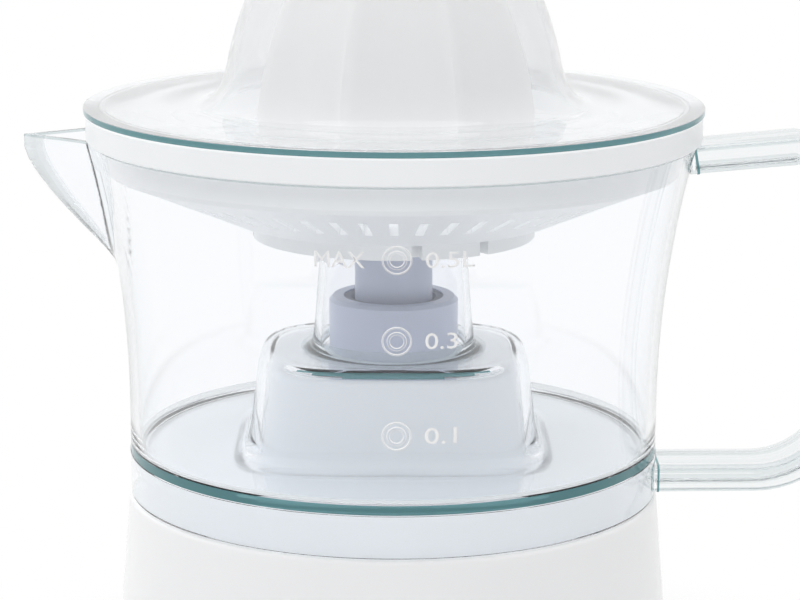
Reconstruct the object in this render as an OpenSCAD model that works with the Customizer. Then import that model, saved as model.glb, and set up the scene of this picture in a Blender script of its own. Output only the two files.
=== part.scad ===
// Electric citrus press: a clear jug with a spout and handle stands on a white motor base.
// A slotted strainer, a ribbed reaming cone and a clear dust cover stack on the jug.
// Millimetres, +Z up, the origin on the upright axis at the table. -X is the spout, -Y the front.

/* [Jug] */
// Outer radius of the jug at its floor
jug_r = 62; // [61:0.25:63]
// Height of the jug's rim above its floor
rim_h = 73; // [72:0.5:75]
// How far the rim flares out beyond the floor's radius
rim_flare = 8.25; // [7.9:0.05:8.5]
// Wall thickness of the jug
jug_wall = 2; // [1.8:0.1:2.2]
// Reach of the spout's tip beyond the floor's radius
spout_reach = 24; // [20:1:28]
// Reach of the handle beyond the floor's radius
handle_reach = 49; // [45:1:54]
// Width of the handle's strap
handle_w = 17; // [14:1:20]

/* [Jug block and tube] */
// Half width of the raised block in the jug's floor, at its foot
block_a = 33.4; // [32.5:0.1:34]
// Half depth of the block, from front to back, at its foot
block_b = 30.6; // [30:0.1:34]
// Height of the block above the jug's floor
block_h = 23.2; // [22:0.2:24.4]
// Outer radius of the tube where it leaves the block
tube_r = 18.8; // [18.6:0.1:19.4]
// Height of the tube's top above the jug's floor
tube_h = 64; // [62:0.5:64.5]

/* [Strainer and cone] */
// Number of slots in the strainer
slot_count = 56; // [40:2:60]
// Width of each slot
slot_w = 1.95; // [1.6:0.05:2.2]
// Radius of the cone over its ribs, at its foot
cone_r = 35.6; // [34.8:0.1:36]
// Height of the cone's tip above the jug's floor
cone_tip = 130; // [124:1:132]
// Number of ribs on the cone
rib_count = 8; // [6:1:10]
// Depth of the flutes beyond a flat, as a share of the radius
flute = 0.06; // [0.03:0.01:0.07]

/* [Lid] */
// How far the lid's flange stands out beyond the strainer's rim
lid_over = 0.45; // [0.1:0.05:1.5]
// Thickness of the lid
lid_wall = 1.5; // [1.3:0.1:1.8]
// Radius of the dome at its foot
dome_r = 39.8; // [39:0.2:42]
// Height of the dome's top above the jug's floor
dome_top = 140; // [138:1:146]

/* [Base] */
// Height of the jug's floor above the table
base_h = 86; // [85:0.5:92]
// How far the base's foot flares out beyond the jug's floor
base_flare = 8.1; // [7.5:0.1:10]
// Wall thickness of the base
base_wall = 2.2; // [1.8:0.1:2.4]
// Radius of the tower that carries the spindle
tower_r = 15.1; // [14.8:0.1:15.2]
// Height of the tower's top above the jug's floor
tower_h = 35.5; // [33:0.5:37]
// Radius of the spindle
spindle_r = 9.1; // [8.8:0.1:9.2]

/* [Fits] */
// How far the cone is pressed down to start the motor
press_travel = 2.5; // [1.5:0.1:2.5]
// Radial clearance of a shaft in its bearing
run_fit = 0.05; // [0.03:0.01:0.08]
// Radial clearance between pieces that lift apart
lift_fit = 0.4; // [0.3:0.05:0.5]

/* [Hidden] */
$fn = 96;
jz = base_h;                     // the jug's floor, mid-thickness
floor_t = 2.4;                   // thickness of the jug's floor
skirt_z = -10.7;                 // lower edge of the jug's skirt, from the floor
shoulder_z = jz - 11.1;          // the base's shoulder, under the skirt
base_r = jug_r + base_flare;     // radius of the base at its foot
foot_flare = 1.4;                // how much of that the curve at the foot adds
neck_r = jug_r - jug_wall - lift_fit;      // the base's neck, inside the skirt
neck_z = jz - floor_t / 2;       // top of the neck, where the jug rests
block_gap = jug_wall + 0.6;      // from the jug's block to the base's block
tube_wall = 1.5;
rim_t = 1.9;                     // width of the jug's rim
rim_r = jug_r + rim_flare;
band_r = rim_r + 1;              // outer radius of the strainer's rim band
lid_r = band_r + lid_over;       // radius of the lid's flange
strain_z = rim_h;                // underside of the strainer's rim band
strain_t = 1.8;
hub_hole = 30;                   // hole in the strainer, round the collar
plate_z = rim_h - 18.7;          // underside of the strainer's flat middle
cone_z = plate_z + strain_t + press_travel + 0.4;   // underside of the cone's ribs
web_z = tube_h + press_travel + 1.1;       // lower end of the hub inside the cone
hub_r = 12.2;                    // the cone's hub, round the spindle's head
head_z = web_z + 16.4;           // top of the spindle's six-sided head
flange_z = strain_z + 6.2;       // underside of the lid's flange

// Gear train: tooth counts, modules, centres. 50/10 x 40/12 x 32/12 is 44.4 to 1.
pa = 25;                         // pressure angle
play = 0.12;                     // thinning of each flank
t0 = 10; t1 = 50; t1p = 12; t2 = 40; t2p = 12; t3 = 32;
gear_k = jug_r / 62;             // the gear box grows with the jug's floor
m1 = gear_k; m2 = 1.25 * gear_k; m3 = 1.5 * gear_k;
ang2 = 150;
c2 = m3 * (t2p + t3) / 2;
p2 = [c2 * cos(ang2), c2 * sin(ang2)];
c12 = m2 * (t1p + t2) / 2;
ang1 = ang2 + 2 * asin(c12 / 2 / c2);
p1 = [c2 * cos(ang1), c2 * sin(ang1)];
dir21 = atan2(p1[1] - p2[1], p1[0] - p2[0]);
dir10 = -30;
c01 = m1 * (t0 + t1) / 2;
p0 = [p1[0] + c01 * cos(dir10), p1[1] + c01 * sin(dir10)];
ph2 = mesh(0, t3, ang2, t2p);
ph1 = mesh(0, t2, dir21, t1p);
ph0 = mesh(0, t1, dir10, t0);
// Levels inside the base, hung from the jug's floor
up_z = jz - 13;                  // underside of the upper plate
lo_z = jz - 50;                  // underside of the lower plate
plate_t = 3;
plate_r = jug_r - 6.7;
core_z = jz - 71;                // underside of the motor's core
core_t = 14;
motor_a = 20;                    // direction of the motor's coil
cover_z = 2;                     // underside of the bottom cover
cover_t = 2.4;
foot_r = base_r - 6.85;          // middle of the rubber foot ring
inlet_z = 13;                    // the cord's inlet
terminal_y = base_r - 26.1;
boss_r = foot_r - 8.75;          // screw bosses of the base
post_r = jug_r - 14;             // posts that carry the upper plate
spring_z = lo_z + plate_t + 1;
washer_z = jz - 30.2;
tip_z = jz - 56;                 // lower tip of the spindle
switch_z = tip_z - 5;            // the switch lever's pin
lever_up = 18;                   // slope of the lever at rest

// Tooth angle that puts gear b in mesh with gear a (phase pha) in direction dir from a to b
function mesh(pha, na, dir, nb) = dir + 180 + (180 - (pha - dir) * na) / nb;
function inv(r, rb) = let(k = sqrt(max(0, pow(r / rb, 2) - 1))) k * 180 / PI - atan(k);
function half(r, m, n) = let(rp = m * n / 2, rb = rp * cos(pa))
    90 / n - play / rp * 180 / PI + inv(rp, rb) - inv(max(r, rb), rb);
function at(r, a) = [r * cos(a), r * sin(a)];
function tooth(m, n, a) = let(rp = m * n / 2, rb = rp * cos(pa), rr = rp - 1.15 * m,
    ra = rp + 0.8 * m, rf = max(rb, rr + 0.01), rs = [rf, (rf + 2 * rp) / 3, ra],
    low = rr < rb ? [rr] : [], all = concat(low, rs))
    concat([for (r = all) at(r, a - half(r, m, n))],
           [for (i = [len(all) - 1:-1:0]) at(all[i], a + half(all[i], m, n))]);

module gear(m, n, h, phase) linear_extrude(h)
    polygon([for (i = [0:n - 1]) for (p = tooth(m, n, phase + i * 360 / n)) p]);

// A closed skin over rings of equal length, each counter-clockwise about the way they advance
module loft(rings) {
    n = len(rings[0]);
    k = len(rings);
    polyhedron([for (r = rings) for (p = r) p],
        concat([[for (i = [0:n - 1]) i]], [[for (i = [n - 1:-1:0]) (k - 1) * n + i]],
            [for (j = [0:k - 2]) for (i = [0:n - 1]) [j * n + i, (j + 1) * n + i,
                (j + 1) * n + (i + 1) % n]],
            [for (j = [0:k - 2]) for (i = [0:n - 1]) [j * n + i,
                (j + 1) * n + (i + 1) % n, j * n + (i + 1) % n]]), convexity = 6);
}
function spow(v, e) = sign(v) * pow(abs(v), e);
// A square with bowed sides and round corners, of half width a, at height z
function bowed(in, z, e) = [for (i = [0:47]) let(t = i * 7.5)
    [(block_a - in) * spow(cos(t), e), (block_b - in) * spow(sin(t), e), z]];
module block(in, h, foot)        // drawn in from the block's outside, h high, with a flared foot
    loft([bowed(in - 3.4, foot, 0.44), bowed(in - 1.53, foot + 2, 0.44), bowed(in, foot + 5, 0.44),
          bowed(in + 1.9, h - 2.6, 0.57), bowed(in + 2.4, h - 1.2, 0.58),
          bowed(in + 3.4, h - 0.35, 0.59), bowed(in + 4.8, h, 0.6)]);

module tube(r, ri, h) difference() {
    cylinder(r = r, h = h);
    translate([0, 0, -1]) cylinder(r = ri, h = h + 2);
}
module ring_of(n, r, a0 = 0) for (i = [0:n - 1]) rotate(a0 + i * 360 / n)
    translate([r, 0, 0]) children();

// ---- base ----
module foot_ring() color([0.25, 0.26, 0.28]) difference() {
    union() {
        tube(foot_r + 2.75, foot_r - 2.75, cover_z);
        tube(foot_r + 0.75, foot_r - 0.75, cover_z + 1);
    }
    translate([0, 0, -1]) tube(foot_r + 0.35, foot_r - 0.35, 1.6);
}

module bottom_cover() color([0.86, 0.87, 0.88]) {
    difference() {
        translate([0, 0, cover_z])
            cylinder(r = side_r(cover_z + cover_t) - base_wall - 0.35, h = cover_t);
        translate([0, 0, cover_z - 1]) tube(foot_r + 0.8, foot_r - 0.8, 2.1);
        ring_of(4, boss_r, 45) {
            translate([0, 0, cover_z - 1]) cylinder(r = 1.8, h = 5);
            translate([0, 0, cover_z - 1]) cylinder(r = 3.4, h = 2.2);
        }
        ring_of(16, boss_r - 10.5, 11.25) translate([-7, -1.1, cover_z - 1]) cube([10, 2.2, 5]);
    }
    for (x = [-11, 5]) translate([x, 0, cover_z + cover_t])
        cylinder(r = 2.5, h = switch_z - 15 - cover_z - cover_t);
    for (x = [-8, 8]) translate([x, terminal_y, cover_z + cover_t]) cylinder(r = 2.4, h = 2.6);
}

module screw(head_r, head_h, r, l) {
    difference() {
        cylinder(r = head_r, h = head_h);
        for (a = [0, 90]) rotate(a) translate([-head_r * 0.6, -0.35, -1])
            cube([head_r * 1.2, 0.7, 1.7]);
    }
    translate([0, 0, head_h]) cylinder(r = r, h = l);
}
module cover_screws() color([0.7, 0.71, 0.72]) ring_of(4, boss_r, 45)
    translate([0, 0, cover_z - 0.6]) screw(3.1, 1.8, 1.6, 12);

function side_r(z) = jug_r + 0.9
    + (base_flare - 0.9 - foot_flare) * (jz - 17.5 - z) / (jz - 17.5)
    + foot_flare * pow(max(0, 1 - z / 30), 2);
// The cord's inlet: outwards is +Z, square to the sloping wall
module at_inlet() translate([0, side_r(inlet_z), inlet_z])
    rotate([atan((side_r(inlet_z - 4) - side_r(inlet_z + 4)) / 8) - 90, 0, 0]) children();
module base_housing() color([0.9, 0.91, 0.92]) difference() {
    union() {
        rotate_extrude() polygon(concat([[side_r(cover_z) - base_wall, cover_z],
            [side_r(cover_z) - 1, cover_z], [side_r(cover_z), cover_z + 1]],
            [for (i = [1:10]) let(z = cover_z + 1 + i * (shoulder_z - cover_z - 3.5) / 10)
                [side_r(z), z]],
            [[side_r(shoulder_z) - 0.5, shoulder_z - 0.8], [side_r(shoulder_z) - 1.7, shoulder_z],
             [neck_r - 2.4, shoulder_z], [neck_r - 2.4, shoulder_z - 2.2],
             [side_r(shoulder_z - 4) - base_wall - 1.2, shoulder_z - 2.2],
             [side_r(shoulder_z - 4) - base_wall, shoulder_z - 4]],
            [for (i = [10:-1:1]) let(z = cover_z + 1 + i * (shoulder_z - cover_z - 6) / 10)
                [side_r(z) - base_wall, z]]));
        ring_of(4, boss_r, 45) translate([0, 0, cover_z + cover_t]) {
            cylinder(r = 3.8, h = 22);
            translate([2.5, -0.9, 0]) cube([side_r(26) - boss_r - 3.5, 1.8, 22]);
        }
    }
    ring_of(4, boss_r, 45) translate([0, 0, cover_z]) cylinder(r = 1.62, h = 16);
    at_inlet() translate([0, 0, -10]) cylinder(r = 5, h = 20);
}

module cord_grommet() color([0.85, 0.86, 0.87]) at_inlet() difference() {
    union() {
        translate([0, 0, -base_wall - 3]) cylinder(r = 4.9, h = base_wall + 4.8);
        translate([0, 0, 0.4]) cylinder(r = 6.6, h = 1.4);
        translate([0, 0, -base_wall - 3]) cylinder(r = 6.6, h = 2.4);
    }
    translate([0, 0, -base_wall - 5]) linear_extrude(14) union() {
        square([2.4, 3.2], center = true);
        for (s = [-1.2, 1.2]) translate([s, 0]) circle(r = 1.6);
    }
}

module base_top() color([0.84, 0.86, 0.88]) difference() {
    union() {
        difference() {
            translate([0, 0, shoulder_z]) cylinder(r = neck_r, h = neck_z - shoulder_z);
            translate([0, 0, shoulder_z - 1])
                cylinder(r = neck_r - 2.2, h = neck_z - shoulder_z - 1.4);
        }
        translate([0, 0, shoulder_z - 3.6]) tube(neck_r - 2.6, neck_r - 4, 6);
        translate([0, 0, shoulder_z]) tube(neck_r - 1, neck_r - 4, 2.4);
        translate([0, 0, neck_z - 3]) tube(neck_r - 2, neck_r - 4.4, 1);
        translate([0, 0, jz]) block(block_gap, block_h - block_gap, -floor_t / 2 - 1);
        ring_of(4, post_r, 20) translate([0, 0, up_z + plate_t])
            cylinder(r = 3.6, h = neck_z - 1 - up_z - plate_t);
    }
    translate([0, 0, jz]) block(block_gap + 2, block_h - block_gap - 2, -floor_t / 2 - 3.6);
    translate([0, 0, jz - floor_t / 2 - 3.6]) linear_extrude(3) polygon([for (p = bowed(block_gap, 0, 0.44))
        [p[0], p[1]]]);
    translate([0, 0, jz]) cylinder(r = tower_r + 0.03, h = block_h + 1);
    ring_of(4, post_r, 20) translate([0, 0, up_z]) cylinder(r = 1.42, h = 9.4);
}

module drive_tower() color([0.72, 0.72, 0.79]) {
    z0 = jz + block_h - block_gap - 2;
    translate([0, 0, z0 - 2]) tube(tower_r + 4.5, spindle_r + 2.8, 2);
    rotate_extrude() polygon([[spindle_r + 2.8, z0 - 0.5], [tower_r, z0 - 0.5],
        [tower_r, jz + tower_h - 0.8], [tower_r - 0.8, jz + tower_h],
        [spindle_r + 2.6, jz + tower_h], [spindle_r + 2.6, jz + tower_h - 3.6],
        [spindle_r + 1.2, jz + tower_h - 3.6], [spindle_r + 1.2, jz + tower_h - 5],
        [spindle_r + 2.8, jz + tower_h - 6.6]]);
}

module shaft_seal() color([0.35, 0.36, 0.38]) translate([0, 0, jz + tower_h - 3.6])
    rotate_extrude() polygon([[spindle_r + 2.55, 0], [spindle_r + 2.55, 3.3],
        [spindle_r + 0.9, 3.3], [spindle_r + 0.3, 2.4], [spindle_r + 0.3, 1.6],
        [spindle_r + 1.3, 1], [spindle_r + 1.3, 0]]);

// ---- gear box ----
pillars = gear_k * [[23, -39.8], [46, 0], [23, 39.8], [-53, 0]];
module plate_blank(r) difference() {
    cylinder(r = plate_r, h = plate_t);
    for (p = [p1, p2]) translate([p[0], p[1], -1]) cylinder(r = 2, h = 6);
    for (p = pillars) translate([p[0], p[1], -1]) cylinder(r = 1.52, h = 6);
    translate([0, 0, -1]) cylinder(r = r, h = 6);
}
module gear_plate_lower() color([0.66, 0.68, 0.7]) translate([0, 0, lo_z]) difference() {
    plate_blank(6);
    translate([p0[0], p0[1], -1]) cylinder(r = 4, h = 6);
    translate([p0[0], p0[1], 0]) rotate(motor_a) for (v = [-13, 13])
        translate([16, v, -1]) cylinder(r = 1.6, h = 6);
    translate([32 * gear_k, 22 * gear_k, -1]) cylinder(r = 9, h = 6);
}
module gear_plate_upper() color([0.66, 0.68, 0.7]) translate([0, 0, up_z]) difference() {
    plate_blank(spindle_r + 2);
    ring_of(4, post_r, 20) translate([0, 0, -1]) cylinder(r = 1.6, h = 6);
}
module plate_pillars() color([0.75, 0.76, 0.77]) for (p = pillars)
    translate([p[0], p[1], lo_z]) {
        cylinder(r = 1.5, h = up_z + plate_t - lo_z);
        translate([0, 0, plate_t]) cylinder(r = 2.5, h = up_z - lo_z - plate_t);
    }
module plate_screws() color([0.7, 0.71, 0.72]) ring_of(4, post_r, 20)
    translate([0, 0, up_z - 1.8]) screw(2.8, 1.8, 1.4, 8.8);
module gear_pins() color([0.75, 0.76, 0.77]) for (p = [p1, p2])
    translate([p[0], p[1], lo_z]) cylinder(r = 1.98, h = up_z + plate_t - lo_z);

sleeve_z = lo_z + plate_t + 0.2;
sleeve_h = up_z - 0.2 - sleeve_z;
module gear_one() color([0.93, 0.91, 0.84]) translate([p1[0], p1[1], 0]) difference() {
    union() {
        translate([0, 0, sleeve_z]) cylinder(r = 3.6, h = sleeve_h);
        translate([0, 0, lo_z + 6]) difference() {
            gear(m1, t1, 4, 0);
            translate([0, 0, 2.6]) tube(20 * gear_k, 10 * gear_k, 3);
            translate([0, 0, -1]) tube(20 * gear_k, 6 * gear_k, 2.4);
        }
        translate([0, 0, lo_z + 10]) gear(m2, t1p, 8.8, ph1);
    }
    translate([0, 0, lo_z]) cylinder(r = 1.98 + run_fit, h = 60);
}
module gear_two() color([0.93, 0.91, 0.84]) translate([p2[0], p2[1], 0]) difference() {
    union() {
        translate([0, 0, sleeve_z]) cylinder(r = 4.4, h = sleeve_h);
        translate([0, 0, lo_z + 13.5]) difference() {
            gear(m2, t2, 5, 0);
            translate([0, 0, 3.4]) tube(20.5 * gear_k, 11.5 * gear_k, 3);
            translate([0, 0, -1]) tube(20.5 * gear_k, 7 * gear_k, 2.6);
        }
        translate([0, 0, lo_z + 18.5]) gear(m3, t2p, 17, ph2);
    }
    translate([0, 0, lo_z]) cylinder(r = 1.98 + run_fit, h = 60);
}
module output_gear() color([0.9, 0.88, 0.8]) translate([0, 0, lo_z + 22]) difference() {
    gear(m3, t3, 12, 0);
    translate([0, 0, 9]) tube(19.5 * gear_k, spindle_r + 3.4, 4);
    translate([0, 0, -1]) tube(19.5 * gear_k, spindle_r + 3.4, 4);
    translate([0, 0, -1]) cylinder(r = spindle_r + 0.01, h = 14);
}

// ---- spindle ----
module spindle() color([0.7, 0.7, 0.77]) difference() {
    union() {
        rotate_extrude() polygon([[0, tip_z], [1.2, tip_z], [4, tip_z + 4],
            [4, washer_z + 1.2], [spindle_r, washer_z + 1.2], [spindle_r, jz + web_z - 0.7],
            [spindle_r - 0.6, jz + web_z - 0.1], [0, jz + web_z - 0.1]]);
        translate([0, 0, jz + web_z - 0.5]) cylinder(r = 8.2, h = head_z - web_z - 0.9, $fn = 6);
        translate([0, 0, jz + head_z - 1.4]) cylinder(r1 = 7.1, r2 = 5.6, h = 1.4);
    }
    translate([0, 0, jz + head_z - 6]) cylinder(r = 2.4, h = 7);
}
module spindle_bush_lower() color([0.72, 0.56, 0.36]) translate([0, 0, lo_z - 1]) difference() {
    union() {
        cylinder(r = 5.98, h = plate_t + 1);
        translate([0, 0, plate_t + 1]) cylinder(r = 6.7, h = 1);
    }
    translate([0, 0, -1]) cylinder(r = 4 + run_fit, h = 8);
}
module spindle_bush_upper() color([0.72, 0.56, 0.36]) translate([0, 0, up_z]) difference() {
    union() {
        cylinder(r = spindle_r + 1.98, h = plate_t + 1.6);
        translate([0, 0, plate_t]) cylinder(r = spindle_r + 3.2, h = 1.2);
    }
    translate([0, 0, -1]) cylinder(r = spindle_r + run_fit, h = 8);
}
module thrust_washer() color([0.8, 0.81, 0.82]) translate([0, 0, washer_z])
    tube(6.2, 4 + run_fit, 1.2);

wire = 0.5;
function coil_at(t, n, h) = let(a = t * 360 * n) [5 * cos(a), 5 * sin(a),
    wire + (h - 2 * wire) * (t < 0.12 ? t * 0.35 : t > 0.88 ? 1 - (1 - t) * 0.35
        : 0.042 + (t - 0.12) * 0.916 / 0.76)];
module return_spring() color([0.8, 0.8, 0.8]) translate([0, 0, spring_z]) {
    n = 5;
    loft([for (i = [0:80]) let(t = i / 80, a = t * 360 * n, c = coil_at(t, n, washer_z - spring_z))
        [for (k = [0:7]) let(f = k * 45) c + wire * 0.98 * [sin(f) * cos(a), sin(f) * sin(a), cos(f)]]]);
}

// ---- motor ----
module at_motor(z) translate([p0[0], p0[1], z]) rotate(motor_a) children();
module motor_core() color([0.45, 0.46, 0.48]) at_motor(core_z) linear_extrude(core_t) difference() {
    union() {
        circle(r = 17);
        translate([0, -16]) square([40, 32]);
    }
    circle(r = 10.2);
    translate([20, -10.2]) square([12, 20.4]);
    for (v = [-13, 13]) translate([16, v]) circle(r = 1.7);
}
module coil_box(g, z, w) translate([31 - g, -w / 2, core_z - z]) cube([10 + 2 * g - 1, w, core_t + 2 * z]);
module motor_bobbin() color([0.82, 0.8, 0.7]) at_motor(0) difference() {
    union() {
        coil_box(0, 1.1, 20);
        for (v = [-9.5, 9.5]) translate([0, v, 0]) coil_box(5.6, 6.4, 1);
    }
    translate([31.9, -12, core_z - 0.1]) cube([8.2, 24, core_t + 0.2]);
}
module motor_coil() color([0.72, 0.42, 0.22]) at_motor(0) difference() {
    coil_box(4.9, 5.7, 17.9);
    coil_box(0.02, 1.12, 24);
}
module motor_bracket() color([0.72, 0.73, 0.74]) at_motor(core_z - 5.5) difference() {
    union() {
        translate([11, -16, 0]) cube([10, 32, 2]);
        translate([0, -5, 0]) cube([14, 10, 2]);
        cylinder(r = 6, h = 2);
    }
    for (v = [-13, 13]) translate([16, v, -1]) cylinder(r = 1.65, h = 4);
    translate([0, 0, -1]) cylinder(r = 3, h = 4);
}
module motor_spacers() color([0.75, 0.76, 0.77]) at_motor(0) for (v = [-13, 13])
    translate([16, v, 0]) {
        translate([0, 0, core_z - 3.5]) tube(2.8, 1.65, 3.5);
        translate([0, 0, core_z + core_t]) tube(2.8, 1.65, lo_z - core_z - core_t);
    }
module motor_bolts() color([0.7, 0.71, 0.72]) at_motor(0) for (v = [-13, 13])
    translate([16, v, core_z - 7.3]) screw(2.7, 1.8, 1.58, lo_z + plate_t - core_z + 5.5);
module rotor_bushes() color([0.72, 0.56, 0.36]) at_motor(0) {
    translate([0, 0, core_z - 6.5]) tube(2.98, 1.5 + run_fit, 4);
    translate([0, 0, lo_z - 1]) tube(3.98, 1.5 + run_fit, 5);
}
module rotor_magnet() color([0.3, 0.3, 0.32]) at_motor(core_z - 1.5) tube(9.6, 1.52, core_t + 3);
module rotor_shaft() color([0.8, 0.81, 0.82]) at_motor(core_z - 7.5)
    cylinder(r = 1.5, h = lo_z + 12 - core_z + 7.5);
module motor_pinion() color([0.85, 0.8, 0.6]) translate([p0[0], p0[1], lo_z + 4.6]) difference() {
    gear(m1, t0, 6.6, ph0);
    translate([0, 0, -1]) cylinder(r = 1.52, h = 9);
}

// ---- switch ----
module micro_switch() color([0.22, 0.22, 0.24]) {
    difference() {
        translate([-15, -3.5, switch_z - 15]) cube([24, 7, 13.5]);
        for (x = [-10, 5]) translate([x, -5, switch_z - 10]) rotate([-90, 0, 0])
            cylinder(r = 1.2, h = 10);
    }
    translate([-4, 0, switch_z - 2]) cylinder(r = 1, h = 1.2);
    difference() {
        for (y = [-3.4, 2.4]) translate([-13.4, y, switch_z - 2]) cube([2.8, 1, 3.3]);
        translate([-12, -6, switch_z]) rotate([-90, 0, 0]) cylinder(r = 0.52, h = 12);
    }
}
module switch_lever() color([0.8, 0.81, 0.82]) translate([-12, 0, switch_z]) {
    rotate([-90, 0, 0]) translate([0, 0, -3.4]) cylinder(r = 0.48, h = 6.8);
    rotate([-90, 0, 0]) translate([0, 0, -2]) cylinder(r = 0.85, h = 4);
    rotate([0, -lever_up, 0]) translate([0, -2, -0.3]) cube([16.2, 4, 0.6]);
}
module terminal_block() color([0.93, 0.93, 0.9]) translate([0, terminal_y, cover_z + cover_t + 2.6])
    difference() {
        translate([-14, -5.5, 0]) cube([28, 11, 10]);
        for (x = [-9, 0, 9]) translate([x, 0, 0]) {
            translate([0, -8, 3.6]) rotate([-90, 0, 0]) cylinder(r = 1.5, h = 16);
            translate([0, 0, 3.6]) cylinder(r = 1.8, h = 8);
        }
    }

// ---- jug ----
// Outer radius of the jug's wall at height z above its floor
function wall_r(z) = jug_r + rim_flare * pow(max(0, z - 10) / (rim_h - 10), 2);
jug_steps = 16;
module jug_solid() rotate_extrude() polygon(concat([[0, -floor_t / 2],
    [jug_r - jug_wall, -floor_t / 2], [jug_r - jug_wall, skirt_z], [jug_r - 0.3, skirt_z],
    [jug_r, skirt_z + 0.3], [jug_r, 10]],
    [for (i = [1:jug_steps]) let(z = 10 + i * (rim_h - 10) / jug_steps) [wall_r(z), z]],
    [[0, rim_h]]));
module jug_hollow() rotate_extrude() polygon(concat([[0, floor_t / 2],
    [jug_r - jug_wall - 1.4, floor_t / 2], [jug_r - jug_wall - 0.6, floor_t / 2 + 0.2],
    [jug_r - jug_wall - 0.2, floor_t / 2 + 0.6], [jug_r - jug_wall, floor_t / 2 + 1.4],
    [jug_r - jug_wall, 10]],
    [for (i = [1:jug_steps]) let(z = 10 + i * (rim_h - 10) / jug_steps)
        [wall_r(z) - jug_wall + (jug_wall - rim_t) * i / jug_steps, z]],
    [[rim_r - rim_t, rim_h + 1], [0, rim_h + 1]]));
// The spout's keel: how far it stands from the axis at height z above the floor
function keel(z) = let(low = wall_r(rim_h - 35) - 1, u = z - rim_h + 30.5,
        w = min(1, (u + sqrt(u * u + 4)) / 2 / 27.5))
    low + (jug_r + spout_reach - low) * (1 - pow(1 - w, 1.35)) - max(0, rim_h - 35 - z) * 0.4;
// A three-sided beak from low on the wall up to a tip at the rim, drawn in by g
module beak(g) loft([for (z = concat([for (i = [0:8]) 36 + 2.2 * g + i * (rim_h - 39 - 2.2 * g) / 8],
        [rim_h - 1.5, rim_h + g]))
    let(k = keel(min(z, rim_h - 3)) - 1.35 * g, w = 19 + 6 * (z - 36) / (rim_h - 36) - g)
        [[-50, w, z], [-k, 0.3, z], [-k, -0.3, z], [-50, -w, z]]]);
module tube_cone(r, z0, z1, k = 0) translate([0, 0, z0])
    cylinder(r1 = r - (z0 - 24) * 0.0707 - k, r2 = r - (z1 - 24) * 0.0707 - k, h = z1 - z0);

module jug_body() color([0.75, 0.9, 0.92, 0.4]) translate([0, 0, jz]) difference() {
    union() {
        difference() {
            union() {
                jug_solid();
                beak(0);
            }
            jug_hollow();
            beak(1.5);
        }
        block(0, block_h, -0.2);
        tube_cone(tube_r, block_h - 1, tube_h);
        translate([0, 0, block_h]) rotate_extrude() polygon([[tube_r - 1, -0.5], [tube_r + 3.4, -0.5],
            [tube_r + 3.4, 0], [tube_r + 1.9, 0.5], [tube_r + 0.9, 1.3], [tube_r + 0.2, 2.8],
            [tube_r - 1, 2.8]]);
    }
    block(jug_wall, block_h - jug_wall, -floor_t / 2 - 1);
    tube_cone(tube_r, block_h - jug_wall - 1, tube_h + 1, tube_wall);
}

// The handle's loop, seen from the front: an outer path and the same drawn in by its strap
function arc(cx, cz, r, a0, a1, n = 8) = [for (i = [0:n])
    [cx + r * cos(a0 + (a1 - a0) * i / n), cz + r * sin(a0 + (a1 - a0) * i / n)]];
module jug_handle() color([0.75, 0.9, 0.92, 0.4]) translate([0, 0, jz]) {
    x1 = jug_r + handle_reach;
    t = 6.4;
    top = rim_h - 17;
    difference() {
        translate([0, handle_w / 2, 0]) rotate([90, 0, 0]) linear_extrude(handle_w)
            polygon(concat([[jug_r - 0.8, skirt_z]], arc(x1 - 26, 14.2, 24.6, -90, -4),
                arc(x1 - 19.4, top, 18, 4, 82), [[jug_r + 4, rim_h - 1.4]],
                [[jug_r + 2, rim_h - 7.8]], arc(x1 - 19.4, top, 18 - t, 82, 4),
                arc(x1 - 26, 14.2, 24.6 - t, -4, -90), [[jug_r - 0.8, skirt_z + 6.3]]));
        jug_solid();
        translate([0, 0, skirt_z - 1]) cylinder(r = jug_r, h = 2);
    }
}

// ---- strainer, cone, lid ----
module strainer() color([0.91, 0.92, 0.93]) translate([0, 0, jz]) difference() {
    r0 = band_r;
    e = wall_r(rim_h - 6) - jug_wall - 0.9;
    ez = plate_z + 0.428 * (e - 38);
    rotate_extrude() polygon([[hub_hole, plate_z], [38, plate_z], [e, ez], [e + 1, ez + 1.2],
        [rim_r - rim_t - 0.6, strain_z], [r0 - 0.3, strain_z], [r0, strain_z + 0.3],
        [r0, strain_z + 5.7], [r0 - 0.5, flange_z], [r0 - 1.6, flange_z],
        [r0 - 2.2, flange_z - 0.4], [e - 0.6, ez + 3.2], [e - 2.2, ez + 1.2],
        [38.4, plate_z + strain_t + 0.2], [hub_hole, plate_z + strain_t]]);
    for (i = [0:slot_count - 1]) rotate(-90 + i * 360 / slot_count)
        translate([48, -slot_w / 2, plate_z]) cube([11, slot_w, 14]);
}

module cone_collar() color([0.9, 0.91, 0.92]) translate([0, 0, jz]) difference() {
    union() {
        translate([0, 0, plate_z - 4.3]) cylinder(r = hub_hole + 2.9, h = 3.7);
        translate([0, 0, plate_z - 1]) cylinder(r = hub_hole - 0.3, h = cone_z - plate_z + 0.9);
    }
    translate([0, 0, plate_z - 6]) cylinder(r = hub_hole - 3, h = 20);
    for (i = [0:2]) for (a = [-81, -52]) rotate(a + i * 120)
        translate([hub_hole - 1, -1.2, plate_z - 5]) cube([6, 2.4, 4.6]);
}

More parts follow.
